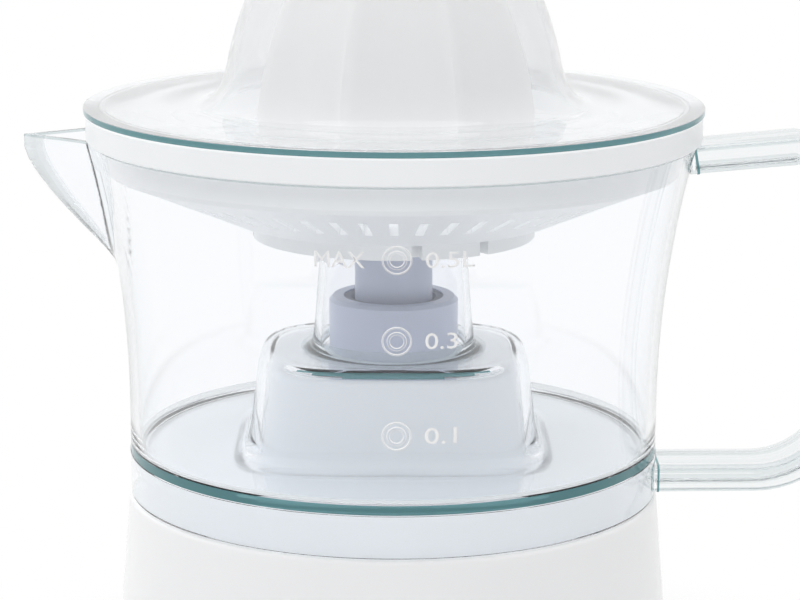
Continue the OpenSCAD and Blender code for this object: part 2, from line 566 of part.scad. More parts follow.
cone_n = 4;                      // points across each flute
cone_k = 10;                     // rings up the cone
function rib_r(s) = cone_r * pow(max(0, 1 - pow(s, 2.2)), 0.64);
function flute_r(q, s) = let(w = 180 / rib_count, a = w * q)
    rib_r(s) * cos(w) / cos(a) * (1 - flute * (1 - q * q));
module cone() color([0.88, 0.89, 0.9]) translate([0, 0, jz]) union() {
    difference() {
        loft([for (j = [0:cone_k]) let(s = 0.995 * sin(90 * j / cone_k), z = cone_z + s * (cone_tip - cone_z))
            [for (i = [0:rib_count - 1]) for (k = [0:cone_n - 1]) let(q = -1 + 2 * k / cone_n,
                a = -90 + (i + q / 2) * 360 / rib_count, r = flute_r(q, s))
                [r * cos(a), r * sin(a), z]]]);
        rotate_extrude() polygon(concat([[0, cone_z - 5], [hub_hole - 5.4, cone_z - 5]],
            [for (i = [3:8]) let(q = i * 0.09) [min(hub_hole - 5.4, rib_r(q) * 0.9
                * (1 - flute) * cos(180 / rib_count) - 1.6), cone_z + q * (cone_tip - cone_z)]],
            [[hub_r, cone_z + 0.72 * (cone_tip - cone_z)], [hub_r, web_z], [0, web_z]]));
        translate([0, 0, web_z - 0.5]) cylinder(r = 8.4, h = head_z - web_z + 1, $fn = 6);
    }
    translate([0, 0, plate_z - 3.6]) tube(hub_hole - 3.3, hub_hole - 5.4, cone_z - plate_z + 3.6);
}

// The dome's line at a share s of its height, and the same inside
function dome_fall(s) = pow(max(0, 1 - pow(s, 1.6)), 0.554);
function dome_at(s) = let(h = dome_top - flange_z - lid_wall)
    [dome_r * dome_fall(s), flange_z + lid_wall + s * h];
function dome_in(s) = let(h = dome_top - flange_z - 2 * lid_wall)
    [(dome_r - lid_wall) * dome_fall(s), flange_z + lid_wall + s * h];
function bend(a, b, c, n = 6) = [for (i = [0:n]) let(t = i / n)
    (1 - t) * (1 - t) * a + 2 * t * (1 - t) * b + t * t * c];
module lid() color([0.75, 0.9, 0.92, 0.4]) translate([0, 0, jz]) {
    top = flange_z + lid_wall;
    s0 = 0.1;                    // where the dome's foot starts to sweep out
    rotate_extrude() polygon(concat([[lid_r - 0.4, flange_z], [lid_r, flange_z + 0.4],
        [lid_r, top - 0.4], [lid_r - 0.4, top]],
        bend([dome_r + 6, top], [dome_r + 0.1, top], dome_at(s0)),
        [for (i = [2:20]) dome_at(sin(90 * i / 20))],
        [for (i = [20:-1:2]) dome_in(sin(90 * i / 20))],
        bend(dome_in(s0), [dome_r - lid_wall + 0.1, flange_z],
            [dome_r - lid_wall + 7.5, flange_z]),
        [[rim_r - 3.35, flange_z], [rim_r - 3.35, flange_z - 1.2],
         [rim_r - 2.15, flange_z - 1.2], [rim_r - 2.15, flange_z]]));
}

foot_ring();
bottom_cover();
cover_screws();
base_housing();
cord_grommet();
base_top();
drive_tower();
shaft_seal();
gear_plate_lower();
gear_plate_upper();
plate_pillars();
plate_screws();
gear_pins();
gear_one();
gear_two();
output_gear();
spindle();
spindle_bush_lower();
spindle_bush_upper();
thrust_washer();
return_spring();
motor_core();
motor_bobbin();
motor_coil();
motor_bracket();
motor_spacers();
motor_bolts();
rotor_bushes();
rotor_magnet();
rotor_shaft();
motor_pinion();
micro_switch();
switch_lever();
terminal_block();
jug_body();
jug_handle();
strainer();
cone_collar();
cone();
lid();
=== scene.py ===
"""Looks for an electric citrus press: clear jug and lid, white base, strainer, cone and gears."""

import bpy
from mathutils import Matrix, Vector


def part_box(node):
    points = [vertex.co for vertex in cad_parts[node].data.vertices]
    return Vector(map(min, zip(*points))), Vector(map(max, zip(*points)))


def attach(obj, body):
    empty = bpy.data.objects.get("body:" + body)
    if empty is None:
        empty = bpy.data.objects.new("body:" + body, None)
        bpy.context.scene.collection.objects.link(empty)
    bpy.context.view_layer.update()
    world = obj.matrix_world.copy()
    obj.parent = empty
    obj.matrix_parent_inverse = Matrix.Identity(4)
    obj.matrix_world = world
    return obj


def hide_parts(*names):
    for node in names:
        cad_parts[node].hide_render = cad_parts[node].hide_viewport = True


bl_info = {
    "name": "Citrus press looks",
    "version": (1, 0, 0),
    "blender": (4, 5, 0),
    "location": "View3D > Sidebar > Citrus Press",
    "description": "Builds the visible pieces and finishes of a citrus press round its frame",
    "category": "Object",
}

from math import atan2, cos, degrees, hypot, pi, radians, sin, tan

import bmesh
import bpy
from mathutils import Matrix, Vector

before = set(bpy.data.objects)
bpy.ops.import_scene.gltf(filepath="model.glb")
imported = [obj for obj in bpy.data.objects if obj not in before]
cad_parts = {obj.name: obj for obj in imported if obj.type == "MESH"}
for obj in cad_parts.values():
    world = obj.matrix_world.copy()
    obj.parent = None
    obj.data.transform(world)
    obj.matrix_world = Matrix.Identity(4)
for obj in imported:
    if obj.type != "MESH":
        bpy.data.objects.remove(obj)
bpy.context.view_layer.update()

# Shapes are worked out in mm, with heights from the jug's floor, and solid() sets them down in
# metres. Finishes and the stage are in metres throughout.
MM = 0.001
SKIRT = 10.7  # how far the jug's skirt reaches below its floor
FLOOR_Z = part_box("jug_body")[0][2] / MM + SKIRT  # the jug's floor above the table
TURN, FINE_TURN = 192, 256  # steps round a turned piece
ON_AXIS = 1e-6


# ---------------------------------------------------------------- shapes

def smooth(x, a, b):
    """0 before a, 1 after b, and an even ease between them."""
    t = min(1.0, max(0.0, (x - a) / (b - a)))
    return t * t * (3 - 2 * t)


def rounded(points):
    """Corner points (r, z) or (r, z, radius) as an outline whose corners are small arcs."""
    out = []
    for i, p in enumerate(points):
        radius = p[2] if len(p) > 2 else 0
        here = Vector((p[0], p[1]))
        if radius <= 0:
            out.append((here.x, here.y))
            continue
        back = Vector(points[i - 1][:2]) - here
        on = Vector(points[(i + 1) % len(points)][:2]) - here
        half = back.angle(on) / 2
        reach = min(radius / tan(half), back.length * 0.49, on.length * 0.49)
        a, b = here + back.normalized() * reach, here + on.normalized() * reach
        steps = 3 if radius < 0.6 else 5 if radius < 3 else 9
        for k in range(steps + 1):
            t = k / steps
            q = a.lerp(here, t).lerp(here.lerp(b, t), t)
            out.append((q.x, q.y))
    return out


def turned(outline, steps=TURN):
    """A bmesh of a closed outline in (r, z) spun round the upright axis."""
    bm = bmesh.new()
    ring = [bm.verts.new((r, 0, z)) for r, z in outline]
    edges = [bm.edges.new(p) for p in zip(ring, ring[1:] + ring[:1])
             if max(p[0].co.x, p[1].co.x) > ON_AXIS]
    bmesh.ops.spin(bm, geom=ring + edges, cent=(0, 0, 0), axis=(0, 0, 1), dvec=(0, 0, 0),
                   angle=2 * pi, steps=steps, use_merge=True, use_duplicate=False)
    bmesh.ops.remove_doubles(bm, verts=bm.verts, dist=1e-4)
    loose = [v for v in bm.verts if not v.link_faces]
    bmesh.ops.delete(bm, geom=loose, context="VERTS")
    bmesh.ops.recalc_face_normals(bm, faces=bm.faces)
    return bm


# ---------------------------------------------------------------- finishes

EFFECT, FINISH = {}, {}
FLOAT, COLOR, VECTOR = "NodeSocketFloat", "NodeSocketColor", "NodeSocketVector"
ACRYLIC_IOR = 1.44


class Nodes:
    """Short ways to build up a node tree."""

    def __init__(self, tree):
        self.tree = tree

    def feed(self, socket, value):
        """Gives an input socket a plain value, or links another node's output to it."""
        if isinstance(value, bpy.types.NodeSocket):
            self.tree.links.new(value, socket)
        else:
            socket.default_value = value

    def add(self, kind, *first, operation=None, **named):
        """A node whose inputs are fed in order, by name, or both."""
        node = self.tree.nodes.new("ShaderNode" + kind)
        if operation:
            node.operation = operation
        for socket, value in zip(node.inputs, first):
            self.feed(socket, value)
        for key, value in named.items():
            self.feed(node.inputs[key.replace("_", " ")], value)
        return node

    def math(self, operation, *values):
        return self.add("Math", *values, operation=operation).outputs[0]

    def scaled(self, color, by):
        return self.add("VectorMath", color, operation="SCALE", Scale=by).outputs[0]

    def place(self):
        return self.add("TexCoord").outputs["Object"]

    def mixed(self, share, first, second):
        """first at a share of 0, second at 1, and a blend of the two colours between."""
        node = self.add("Mix")
        node.data_type = "RGBA"
        self.feed(node.inputs[0], share)
        for socket, value in zip([i for i in node.inputs if i.type == "RGBA"], (first, second)):
            self.feed(socket, value)
        return [o for o in node.outputs if o.type == "RGBA"][0]

    def group(self, effect_tree, **named):
        """Places a shared effect with its own values."""
        node = self.add("Group")
        node.node_tree = effect_tree
        for key, value in named.items():
            self.feed(node.inputs[key], value)
        return node

    def any_ray(self, *kinds):
        """1 for a ray of any of the kinds, such as Camera, and 0 for the rest."""
        path = self.add("LightPath")
        got, *more = [path.outputs["Is %s Ray" % kind] for kind in kinds]
        for out in more:
            got = self.math("MAXIMUM", got, out)
        return got


class Finish(Nodes):
    """A material under way: its Principled BSDF and the nodes that feed it."""

    def __init__(self, name, color, roughness, **values):
        self.mat = bpy.data.materials.new(name)
        self.mat.use_nodes = True
        super().__init__(self.mat.node_tree)
        self.shader = self.tree.nodes["Principled BSDF"]
        self.shade(Base_Color=(*color, 1), Roughness=roughness, **values)
        FINISH[name] = self.mat

    def shade(self, **named):
        """Feeds the shader's own sockets."""
        for key, value in named.items():
            self.feed(self.shader.inputs[key.replace("_", " ")], value)

    def skin(self, effect_tree, **named):
        """Takes colour, gloss and normal from a shared effect, and gives the effect's node."""
        node = self.group(effect_tree, **named)
        self.shade(Base_Color=node.outputs["Color"], Roughness=node.outputs["Roughness"],
                   Normal=node.outputs["Normal"])
        return node


def effect(name, inputs, outputs):
    """An empty shader group: its nodes, what it is given, and what it puts out.

    inputs holds (type, default) for each socket, and outputs the type.
    """
    g = bpy.data.node_groups.new(name, "ShaderNodeTree")
    for key, (kind, value) in inputs.items():
        g.interface.new_socket(key, in_out="INPUT", socket_type=kind).default_value = value
    for key, kind in outputs.items():
        g.interface.new_socket(key, in_out="OUTPUT", socket_type=kind)
    given, out = g.nodes.new("NodeGroupInput"), g.nodes.new("NodeGroupOutput")
    return Nodes(g), given.outputs, out.inputs


def moulded_effect():
    """Moulded plastic: a faint cloudiness of colour, uneven gloss and a fine orange-peel skin."""
    t, given, out = effect("Moulded plastic",
                           {"Color": (COLOR, (0.9, 0.9, 0.9, 1)), "Cloud": (FLOAT, 0.015),
                            "Roughness": (FLOAT, 0.2), "Grain": (FLOAT, 0.04)},
                           {"Color": COLOR, "Roughness": FLOAT, "Normal": VECTOR})
    place = t.place()
    clouds = t.add("TexNoise", Vector=place, Scale=34, Detail=2).outputs["Fac"]
    peel = t.add("TexNoise", Vector=place, Scale=1500, Detail=1).outputs["Fac"]
    tint = t.math("MULTIPLY", t.math("SUBTRACT", clouds, 0.5), given["Cloud"])
    gloss = t.add("MapRange", Value=peel, To_Min=0.9, To_Max=1.15).outputs[0]
    bump = t.add("Bump", Strength=given["Grain"], Distance=0.0001, Height=peel)
    t.feed(out["Color"], t.scaled(given["Color"], t.math("ADD", tint, 1)))
    t.feed(out["Roughness"], t.math("MULTIPLY", gloss, given["Roughness"]))
    t.feed(out["Normal"], bump.outputs[0])
    return t.tree


def worked_effect():
    """Worked metal: fine streaks along one way in colour and gloss."""
    t, given, out = effect("Worked metal",
                           {"Color": (COLOR, (0.7, 0.7, 0.7, 1)), "Streak": (FLOAT, 0.12),
                            "Roughness": (FLOAT, 0.35), "Scale": (FLOAT, 400)},
                           {"Color": COLOR, "Roughness": FLOAT, "Normal": VECTOR})
    drawn_out = t.add("Mapping", Vector=t.place(), Scale=(1, 1, 0.06)).outputs[0]
    noise = t.add("TexNoise", Vector=drawn_out, Scale=given["Scale"]).outputs["Fac"]
    streak = t.math("MULTIPLY_ADD", t.math("SUBTRACT", noise, 0.5), given["Streak"], 1)
    bump = t.add("Bump", Strength=0.15, Distance=0.00005, Height=noise)
    t.feed(out["Color"], t.scaled(given["Color"], streak))
    t.feed(out["Roughness"], t.math("MULTIPLY", given["Roughness"], streak))
    t.feed(out["Normal"], bump.outputs[0])
    return t.tree


def crest_highlight_effect():
    """Ribs round an axis: a paler colour along each crest, a painted highlight for light that
    catches the thin crests and comes through them.
    """
    t, given, out = effect("Rib crests",
                           {"Color": (COLOR, (0.7, 0.7, 0.7, 1)),
                            "Crest": (COLOR, (0.9, 0.9, 0.9, 1)),
                            "Ribs": (FLOAT, 8), "Phase": (FLOAT, 0)},
                           {"Color": COLOR})
    at = t.add("SeparateXYZ", t.place()).outputs
    angle = t.math("ARCTAN2", at["Y"], at["X"])
    wave = t.math("COSINE", t.math("MULTIPLY_ADD", angle, given["Ribs"], given["Phase"]))
    # painted highlight: the paler crest colour fades in near each crest
    share = t.add("MapRange", Value=wave, From_Min=0.78)
    share.interpolation_type = "SMOOTHSTEP"
    t.feed(out["Color"], t.mixed(share.outputs[0], given["Color"], given["Crest"]))
    return t.tree


def plastic(name, color, roughness, cloud=0.02, grain=0.03, **values):
    """Moulded plastic: the material, and the effect's node in it."""
    f = Finish(name, color, roughness, **values)
    return f, f.skin(EFFECT["moulded"], Color=(*color, 1), Roughness=roughness, Cloud=cloud,
                     Grain=grain)


def ribbed(name, color, crest, roughness):
    """Moulded plastic with a painted highlight along the crests of the cone's ribs."""
    f, skin = plastic(name, color, roughness)
    ribs, turn = sizes().ribs, sizes().cone_turn
    crests = f.group(EFFECT["crests"], Color=(*color, 1), Crest=(*crest, 1), Ribs=ribs,
                     Phase=-ribs * (turn - pi / 2) - pi)
    f.feed(skin.inputs["Color"], crests.outputs["Color"])


def metal(name, color, roughness, streak=0.12, metallic=1.0, scale=400):
    f = Finish(name, color, roughness, Metallic=metallic)
    f.skin(EFFECT["worked"], Color=(*color, 1), Roughness=roughness, Streak=streak, Scale=scale)


def clear(name, color, side, weight=1.0, outer=False):
    """Clear moulded plastic: color face on, side where it is seen edge on, with side a painted
    darker reflection of the room at grazing angles.
    """
    f = Finish(name, color, 0.02, IOR=ACRYLIC_IOR, Transmission_Weight=weight)
    waves = f.add("TexNoise", Vector=f.place(), Scale=90, Detail=1).outputs["Fac"]
    bump = f.add("Bump", Strength=0.02, Distance=0.0002, Height=waves)
    # painted reflection: towards grazing angles the colour turns to side, the darker room seen
    # there
    lean = f.add("LayerWeight", Blend=0.25).outputs["Facing"]
    share = f.add("MapRange", Value=lean, From_Min=0.35, From_Max=0.95).outputs[0]
    # light reaches what stands behind the plastic
    alpha = f.add("MapRange", Value=f.any_ray("Shadow", "Diffuse"), To_Min=1.0, To_Max=0.03)
    alpha = alpha.outputs[0]
    if outer:  # from inside the plastic, a tinted edge doesn't show
        cut = f.add("Math", alpha, f.add("NewGeometry").outputs["Backfacing"],
                    operation="SUBTRACT")
        cut.use_clamp = True
        alpha = cut.outputs[0]
    f.shade(Base_Color=f.mixed(share, (*color, 1), (*side, 1)), Normal=bump.outputs[0],
            Alpha=alpha)


# ---------------------------------------------------------------- settings

class CITRUS_PG_colors(bpy.types.PropertyGroup):
    white: bpy.props.FloatVectorProperty(
        name="White plastic", description="Colour of the base's housing",
        subtype="COLOR", default=(0.93, 0.935, 0.94), min=0, max=1)
    deck: bpy.props.FloatVectorProperty(
        name="Deck", description="Colour of the base's top under the jug",
        subtype="COLOR", default=(0.90, 0.945, 0.985), min=0, max=1)
    lilac: bpy.props.FloatVectorProperty(
        name="Drive tower", description="Colour of the tower and the spindle",
        subtype="COLOR", default=(0.64, 0.69, 0.845), min=0, max=1)
    strainer: bpy.props.FloatVectorProperty(
        name="Strainer", description="Colour of the strainer and collar",
        subtype="COLOR", default=(0.95, 0.97, 0.985), min=0, max=1)
    cone: bpy.props.FloatVectorProperty(
        name="Cone", description="Colour of the reaming cone",
        subtype="COLOR", default=(0.93, 0.93, 0.925), min=0, max=1)
    edge: bpy.props.FloatVectorProperty(
        name="Clear edges", description="Tint of the clear plastic's cut edges",
        subtype="COLOR", default=(0.055, 0.245, 0.27), min=0, max=1)


class CITRUS_PG_sizes(bpy.types.PropertyGroup):
    spout_reach: bpy.props.FloatProperty(
        name="Spout", description="How far the spout's lip stands out past the jug's foot",
        subtype="DISTANCE", unit="LENGTH", default=0.024, min=0)
    mark_rise: bpy.props.FloatProperty(
        name="Level marks", description="How thick the raised level marks are",
        subtype="DISTANCE", unit="LENGTH", default=0.00035, min=0)
    ribs: bpy.props.IntProperty(
        name="Ribs", description="How many ribs the cone has", default=8, min=3)
    flute: bpy.props.FloatProperty(
        name="Flutes", description="Depth of the flutes, as a share of the cone's radius",
        subtype="FACTOR", default=0.08, min=0, max=1)
    cone_turn: bpy.props.FloatProperty(
        name="Cone turn", description="Turn of the cone's ribs about its axis",
        subtype="ANGLE", unit="ROTATION", default=radians(2.3))


class CITRUS_PG_stage(bpy.types.PropertyGroup):
    camera_distance: bpy.props.FloatProperty(
        name="Camera distance", description="Level distance from the axis to the camera",
        subtype="DISTANCE", unit="LENGTH", default=0.6659)
    camera_height: bpy.props.FloatProperty(
        name="Camera height", description="Camera height above the jug's floor",
        subtype="DISTANCE", unit="LENGTH", default=0.1774)
    pitch: bpy.props.FloatProperty(
        name="Pitch", description="How far the camera looks down",
        subtype="ANGLE", unit="ROTATION", default=radians(12.17))
    roll: bpy.props.FloatProperty(
        name="Roll", description="Turn of the camera about its own line of sight",
        subtype="ANGLE", unit="ROTATION", default=radians(0.17))
    lens: bpy.props.FloatProperty(
        name="Lens", description="Focal length in millimetres on a 36 mm sensor",
        unit="CAMERA", default=130.5)
    shift: bpy.props.FloatProperty(
        name="Shift", description="Sideways shift of the view, as a share of its width",
        default=0.008)
    world_level: bpy.props.FloatProperty(
        name="Room light", description="Strength of the even light all round",
        subtype="FACTOR", default=0.45, min=0, max=1)
    key_power: bpy.props.FloatProperty(
        name="Key lamp", description="Power of the large lamp at the front, high up",
        subtype="POWER", unit="POWER", default=6.5)
    left_power: bpy.props.FloatProperty(
        name="Left lamp", description="Power of the lamp on the left",
        subtype="POWER", unit="POWER", default=3.5)
    right_power: bpy.props.FloatProperty(
        name="Right lamp", description="Power of the lamp on the right",
        subtype="POWER", unit="POWER", default=3)
    top_power: bpy.props.FloatProperty(
        name="Top lamp", description="Power of the lamp overhead",
        subtype="POWER", unit="POWER", default=3)
    back_power: bpy.props.FloatProperty(
        name="Back lamp", description="Power of the lamp behind, to the left",
        subtype="POWER", unit="POWER", default=6)


def sizes():
    return bpy.context.scene.citrus_sizes


# the frame parts that keep their shape, by finish
FRAME_PARTS = {
    "white_gloss": ["bottom_cover"],
    "lilac_satin": ["drive_tower", "spindle"],
    "strainer_satin": ["strainer", "cone_collar"],
    "rubber_dark": ["foot_ring"],
    "rubber_pale": ["cord_grommet"],
    "rubber_lilac": ["shaft_seal"],
    "nylon": ["gear_one", "gear_two", "output_gear", "motor_pinion"],
    "bobbin_tan": ["motor_bobbin"],
    "switch_black": ["micro_switch"],
    "terminal_white": ["terminal_block"],
    "zinc": ["cover_screws", "plate_pillars", "plate_screws", "gear_pins", "thrust_washer",
             "return_spring", "motor_spacers", "motor_bolts", "rotor_shaft", "switch_lever"],
    "plate": ["gear_plate_lower", "gear_plate_upper", "motor_bracket"],
    "bronze": ["spindle_bush_lower", "spindle_bush_upper", "rotor_bushes"],
    "laminations": ["motor_core"],
    "copper": ["motor_coil"],
    "ferrite": ["rotor_magnet"],
}


class CITRUS_OT_finishes(bpy.types.Operator):
    """Make the plastics, metals and rubbers, and give the plain frame parts theirs"""
    bl_idname = "citrus.finishes"
    bl_label = "Finishes"

    def execute(self, context):
        c = context.scene.citrus_colors
        EFFECT.update(moulded=moulded_effect(), worked=worked_effect(), crests=crest_highlight_effect())
        plastic("white_gloss", tuple(c.white), 0.22)
        plastic("deck_satin", tuple(c.deck), 0.3)
        plastic("lilac_satin", tuple(c.lilac), 0.34)
        plastic("strainer_satin", tuple(c.strainer), 0.32)
        # the second colour is the painted highlight along the cone's rib crests
        ribbed("cone_satin", tuple(c.cone), (0.97, 0.97, 0.965), 0.55)
        plastic("rubber_dark", (0.05, 0.052, 0.056), 0.75, cloud=0.15, grain=0.3)
        plastic("rubber_pale", (0.7, 0.71, 0.72), 0.6, cloud=0.05, grain=0.2)
        # painted shade: the seal's lilac grey stands for the soft shade in the gap round the
        # spindle
        plastic("rubber_lilac", (0.30, 0.32, 0.38), 0.6, cloud=0.05, grain=0.2)
        plastic("nylon", (0.83, 0.80, 0.70), 0.42, cloud=0.05, Subsurface_Weight=0.05)
        plastic("bobbin_tan", (0.62, 0.58, 0.44), 0.4, cloud=0.06)
        plastic("switch_black", (0.02, 0.02, 0.023), 0.4, cloud=0.1)
        plastic("terminal_white", (0.8, 0.8, 0.75), 0.35)
        metal("zinc", (0.62, 0.63, 0.65), 0.3)
        metal("plate", (0.5, 0.52, 0.54), 0.38, streak=0.2, scale=260)
        metal("bronze", (0.55, 0.36, 0.16), 0.34)
        metal("laminations", (0.18, 0.185, 0.2), 0.5, streak=0.35, metallic=0.8, scale=900)
        metal("copper", (0.72, 0.30, 0.13), 0.28, streak=0.4, scale=1400)
        metal("ferrite", (0.05, 0.05, 0.055), 0.55, metallic=0.3)
        # each second colour is seen edge on; its darkening is painted reflection of the room at
        # grazing angles
        clear("clear_plastic", (0.978, 0.986, 0.998), (0.78, 0.85, 0.88))
        clear("clear_strap", (0.90, 0.92, 0.925), (0.5, 0.56, 0.57))
        clear("clear_lid", (0.91, 0.915, 0.925), (0.80, 0.84, 0.86), weight=0.8)
        clear("clear_keel", (0.9, 0.93, 0.94), (0.75, 0.8, 0.82), weight=0.5)
        # painted shade: darker clear plastic for the gap shadow on the rim's top, round the tube's
        # foot and along the handle's edges
        clear("clear_rim", (0.72, 0.78, 0.79), (0.5, 0.6, 0.6), weight=0.8)
        edge = tuple(c.edge)
        pale = tuple(0.95 * x + 0.05 for x in edge)
        clear("clear_edge", pale, edge, weight=0.25, outer=True)
        clear("clear_marks", (0.99, 0.99, 1.0), (0.9, 0.92, 0.95))
        # painted highlight: the marks' sides are opaque white, for light caught on their raised
        # edges
        plastic("mark_sides", (1.0, 1.0, 1.0), 0.5)
        for finish, nodes in FRAME_PARTS.items():
            for node in nodes:
                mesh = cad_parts[node].data
                if not mesh.materials:
                    mesh.materials.append(FINISH[finish])
                for i in range(len(mesh.materials)):
                    mesh.materials[i] = FINISH[finish]
        return {"FINISHED"}


# ---------------------------------------------------------------- jug

JUG_R, WALL, RIM_H, FLARE = 62.0, 2.0, 73.0, 8.25
UPRIGHT = 10  # the wall is upright up to this height, and flares above it
FLOOR_HALF = 1.2  # half the floor's thickness
BLOCK_A, BLOCK_B, BLOCK_H = 33.4, 30.6, 23.2  # half width, half depth and height of the block
TUBE_TO_BLOCK, BLOCK_TO_FLOOR = (20.8, 25.5), (38, 54)  # radii where round and square blend
TUBE_R, TUBE_H, TUBE_WALL = 18.8, 64.0, 1.5
TUBE_FOOT, TUBE_TAPER = 24, 0.0707  # it is TUBE_R wide at this height, and narrows upwards
SPOUT_LIP, SPOUT_DEPTH = 3, 35  # its upright lip, and how far below the rim it starts
SPOUT_WIDE, SPOUT_NARROW = 25, 19  # half its width at the rim and lower down
SPOUT_ROOT = 50  # how far from the axis it has that width
SPOUT_BLEND, SPOUT_WALL = 2.4, 1.9
GRIP_X, GRIP_T, GRIP_W, GRIP_EDGE = JUG_R + 49, 6.4, 17, 1.7  # reach, thickness, width, corners
GRIP_LOW, GRIP_HIGH = -7.45, 68.3  # where the handle meets the skirt and the wall
GRIP_TOP = 68  # the wall's radius is taken here for the handle's upper end
EDGE, SHADE_LINE, KEEL, STRAP = range(1, 5)  # places in the list below
JUG_FINISHES = ("clear_plastic", "clear_edge", "clear_rim", "clear_keel", "clear_strap")


def wall_r(z):
    """Outer radius of the jug's wall at height z."""
    return JUG_R + FLARE * (max(0.0, z - UPRIGHT) / (RIM_H - UPRIGHT)) ** 2


def tube_r(z):
    return TUBE_R - (z - TUBE_FOOT) * TUBE_TAPER


def square_off(bm):
    """Draws the turned rings of the block's zone out into a bowed square."""
    for v in bm.verts:
        r = hypot(v.co.x, v.co.y)
        share = smooth(r, *TUBE_TO_BLOCK) * (1 - smooth(r, *BLOCK_TO_FLOOR))
        if share > 0:
            p = 4.6 - 1.2 * smooth(v.co.z, 5, 22)  # more square at the foot than at the top
            c, s = abs(v.co.x) / r, abs(v.co.y) / (r + BLOCK_B - BLOCK_A)
            k = 1 + share * (1 / (c ** p + s ** p) ** (1 / p) - 1)
            v.co.x *= k
            v.co.y *= k


def keel(z, reach):
    """How far the spout's keel stands from the axis at height z, for the reach of its lip."""
    foot = RIM_H - SPOUT_DEPTH
    low = wall_r(foot) - 1
    u = z - RIM_H + 30.5
    w = min(1.0, (u + (u * u + 4) ** 0.5) / 55)  # 0 at the foot with a soft start, 1 near the lip
    return low + (JUG_R + reach - low) * (1 - (1 - w) ** 1.35) - max(0.0, foot - z) * 0.4


def draw_spout(bm):
    """Pulls the left of the wall out into the three-sided spout, its inner skin a wall inside."""
    reach = sizes().spout_reach / MM
    for v in bm.verts:
        z, r = v.co.z, hypot(v.co.x, v.co.y)
        if z < 30 or v.co.x > -40 or r < 55:  # not the left of the flared wall
            continue
        inner = smooth(wall_r(z) - r, 0.4, 1.4)
        k = keel(min(z, RIM_H - SPOUT_LIP), reach) - inner * SPOUT_WALL
        w = SPOUT_NARROW + (SPOUT_WIDE - SPOUT_NARROW) * (z - 36) / (RIM_H - 36) \
            - inner * SPOUT_WALL * 0.75
        s, c = abs(v.co.y) / r, -v.co.x / r
        d = w * k / ((k - SPOUT_ROOT) * s + w * c) - r
        out = (d + (d * d + SPOUT_BLEND * SPOUT_BLEND) ** 0.5) / 2 - SPOUT_BLEND * 0.08
        grow = max(0.0, out) * smooth(z, 34, 46) / r
        v.co.x *= 1 + grow
        v.co.y *= 1 + grow


def jug_outline():
    """The jug's section: skirt, wall, rim, floor, block and tube."""
    steps = 26
    heights = [UPRIGHT + i * (RIM_H - UPRIGHT - 0.6) / steps for i in range(steps + 1)]
    outer = [(wall_r(z), z) for z in heights]
    inner = [(r - WALL + 0.1 * (z - UPRIGHT) / (RIM_H - UPRIGHT), z) for r, z in outer]
    bore, rim = JUG_R - WALL, wall_r(RIM_H)
    points = [(bore, -SKIRT, 0.35), (JUG_R, -SKIRT, 0.35), (JUG_R, -3),
              (JUG_R, -1.0), (JUG_R + 0.12, -0.82), (JUG_R, -0.65),  # the bead under the ring
              (JUG_R, 0.75), (JUG_R, 1.5), (JUG_R, 5)]
    points += outer + [(rim, RIM_H, 0.5), (rim - 1.9, RIM_H, 0.5)] + inner[::-1]
    points += [(bore, 7, 0), (bore, FLOOR_HALF, 1.2), (55, FLOOR_HALF), (47, FLOOR_HALF),
               (42.2, FLOOR_HALF), (BLOCK_A + 0.3, FLOOR_HALF, 6.4), (BLOCK_A - 0.7, 11),
               (BLOCK_A - 1.2, 15), (BLOCK_A - 2.1, BLOCK_H, 3.9), (24.4, BLOCK_H),
               (TUBE_R + 0.5, BLOCK_H, 3.4), (tube_r(30), 30), (tube_r(46), 46),
               (tube_r(TUBE_H), TUBE_H, 0.5)]
    low, top = -FLOOR_HALF, BLOCK_H - WALL  # the undersides of the floor and of the block's top
    points += [(tube_r(TUBE_H) - TUBE_WALL, TUBE_H, 0.5), (tube_r(46) - TUBE_WALL, 46),
               (tube_r(BLOCK_H) - TUBE_WALL, top, 0.8), (25.2, top), (BLOCK_A - 4.1, top, 2.2),
               (BLOCK_A - 3.2, 15), (BLOCK_A - 2.7, 9), (BLOCK_A - 1.8, low, 5.4), (42.2, low),
               (47, low), (55, low), (bore, low, 0.4), (bore, -4)]
    return rounded(points)


def strap(path, width, thick):
    """A rounded strap swept along a path of (x, z) points."""
    bm = bmesh.new()
    section = rounded([(-thick / 2, -width / 2, GRIP_EDGE), (thick / 2, -width / 2, GRIP_EDGE),
                       (thick / 2, width / 2, GRIP_EDGE), (-thick / 2, width / 2, GRIP_EDGE)])
    rings = []
    for i, (x, z) in enumerate(path):
        a, b = path[max(0, i - 1)], path[min(len(path) - 1, i + 1)]
        way = Vector((b[0] - a[0], 0, b[1] - a[1])).normalized()
        side = Vector((way.z, 0, -way.x))
        ring = [bm.verts.new(Vector((x, 0, z)) + side * u + Vector((0, v, 0)))
                for u, v in section]
        rings.append([bm.edges.new(e) for e in zip(ring, ring[1:] + ring[:1])])
        if i in (0, len(path) - 1):
            bm.faces.new(ring)
    for p, q in zip(rings, rings[1:]):
        bmesh.ops.bridge_loops(bm, edges=p + q)
    bmesh.ops.recalc_face_normals(bm, faces=bm.faces)
    return bm


def arc(cx, cz, r, a0, a1, n=12):
    return [(cx + r * cos(radians(a0 + (a1 - a0) * i / n)),
             cz + r * sin(radians(a0 + (a1 - a0) * i / n))) for i in range(n + 1)]


def solid(bm, name):
    """A bare object in metres of a bmesh in mm, lifted from the jug's floor to the table."""
    bmesh.ops.translate(bm, verts=bm.verts, vec=(0, 0, FLOOR_Z))
    bmesh.ops.scale(bm, verts=bm.verts, vec=(MM, MM, MM))
    mesh = bpy.data.meshes.new(name)
    bm.to_mesh(mesh)
    bm.free()
    obj = bpy.data.objects.new(name, mesh)
    bpy.context.scene.collection.objects.link(obj)
    return obj


